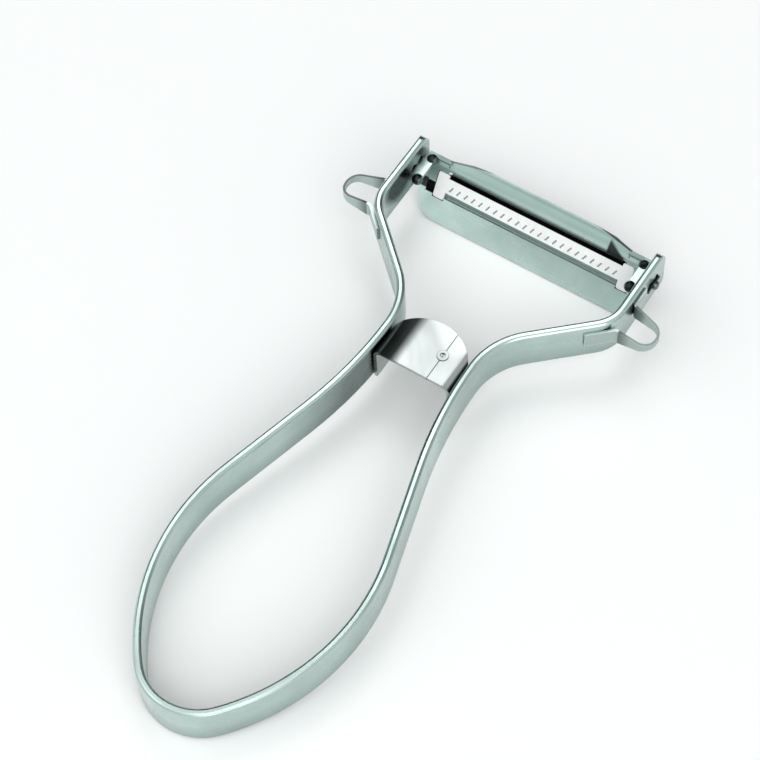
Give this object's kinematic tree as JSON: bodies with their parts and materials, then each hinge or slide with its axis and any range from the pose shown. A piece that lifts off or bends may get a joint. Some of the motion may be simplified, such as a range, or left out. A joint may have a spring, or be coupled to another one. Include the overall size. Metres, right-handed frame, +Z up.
{
  "type": "vegetable peeler",
  "caption": "All-metal swivel vegetable peeler: a looped strap handle that opens into a fork, a slotted blade swinging in it, and eye-gouging loops at the sides.",
  "frame": {"origin": "centre of the bounding box's base, on the table the peeler lies on", "axes": "+Y from the handle's loop to the blade, +X to the right-hand ear, +Z up"},
  "size_m": [0.0824, 0.1519, 0.02],
  "materials": {
    "strap_steel": "bright satin, polished edges",
    "bridge_steel": "bright rolled sheet",
    "gouger_steel": "bright satin ribbon",
    "carrier_steel": "smooth bright pressing",
    "blade_steel": "polished, ground edge"
  },
  "bodies": {
    "handle": {"handle_strap": "strap_steel", "bridge_left_bracket": "bridge_steel", "bridge_right_bracket": "bridge_steel", "left_eye_gouger": "gouger_steel", "right_eye_gouger": "gouger_steel"},
    "blade_unit": {"blade_carrier": "carrier_steel", "blade": "blade_steel"}
  },
  "joints": [
    {"name": "blade_swing", "type": "hinge", "parent": "handle", "child": "blade_unit", "pos_m": [0, 0.06892, 0.01404], "axis": [1, 0, 0], "range_deg": [-40, 40]}
  ]
}
